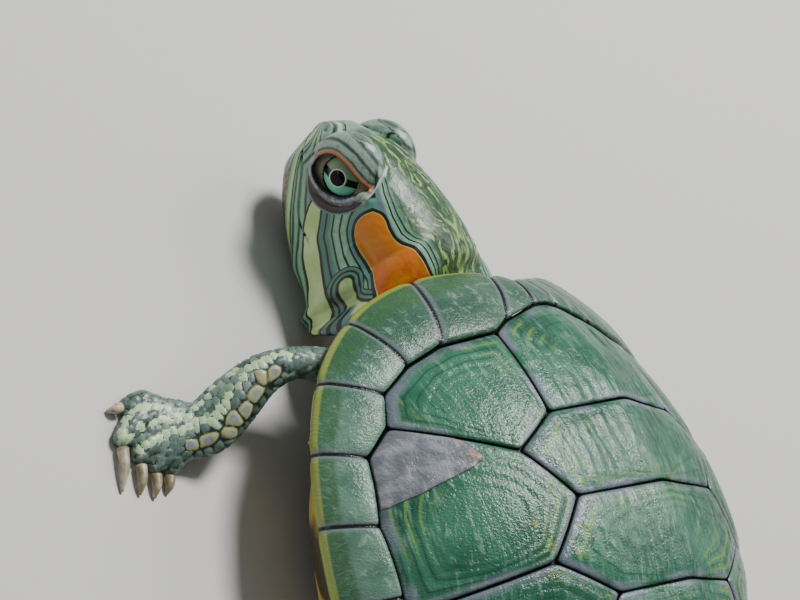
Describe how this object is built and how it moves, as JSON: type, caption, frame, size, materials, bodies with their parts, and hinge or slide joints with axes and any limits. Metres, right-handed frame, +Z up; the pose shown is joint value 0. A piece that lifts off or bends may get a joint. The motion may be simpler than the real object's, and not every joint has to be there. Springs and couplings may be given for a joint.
{
  "type": "young red-eared slider turtle",
  "caption": "Life-size still model of a young red-eared slider turtle, standing nose-up with its head reached forward and turned, its limbs spread and its tail out behind.",
  "frame": {"origin": "centre of the model's bounding box, on the floor that it stands on", "axes": "+Z up, +Y from the nose towards the tail along the shell, +X towards the turtle's left side"},
  "size_m": [0.0698, 0.0709, 0.0227],
  "materials": {
    "carapace_horn": "satin",
    "rim_horn": "satin",
    "shell_bed": "matte",
    "plastron_horn": "satin",
    "skin": "satin",
    "eye": "gloss",
    "claw_horn": "satin"
  },
  "bodies": {
    "root": {"carapace": "shell_bed", "vertebral_1": "carapace_horn", "vertebral_2": "carapace_horn", "vertebral_3": "carapace_horn", "vertebral_4": "carapace_horn", "vertebral_5": "carapace_horn", "pleural_left_1": "carapace_horn", "pleural_left_2": "carapace_horn", "pleural_left_3": "carapace_horn", "pleural_left_4": "carapace_horn", "pleural_right_1": "carapace_horn", "pleural_right_2": "carapace_horn", "pleural_right_3": "carapace_horn", "pleural_right_4": "carapace_horn", "nuchal": "carapace_horn", "marginals_left": "rim_horn", "marginals_right": "rim_horn", "plastron": "plastron_horn", "trunk": "skin", "neck": "skin", "tail": "skin", "head": "skin", "lower_jaw": "skin", "eye_left": "eye", "eye_right": "eye", "left_upper_arm": "skin", "left_forearm": "skin", "left_hand": "skin", "left_thigh": "skin", "left_shank": "skin", "left_foot": "skin", "left_hand_claw_1": "claw_horn", "left_hand_claw_2": "claw_horn", "left_hand_claw_3": "claw_horn", "left_hand_claw_4": "claw_horn", "left_hand_claw_5": "claw_horn", "left_foot_claw_1": "claw_horn", "left_foot_claw_2": "claw_horn", "left_foot_claw_3": "claw_horn", "left_foot_claw_4": "claw_horn", "right_upper_arm": "skin", "right_forearm": "skin", "right_hand": "skin", "right_thigh": "skin", "right_shank": "skin", "right_foot": "skin", "right_hand_claw_1": "claw_horn", "right_hand_claw_2": "claw_horn", "right_hand_claw_3": "claw_horn", "right_hand_claw_4": "claw_horn", "right_hand_claw_5": "claw_horn", "right_foot_claw_1": "claw_horn", "right_foot_claw_2": "claw_horn", "right_foot_claw_3": "claw_horn", "right_foot_claw_4": "claw_horn"}
  },
  "joints": []
}
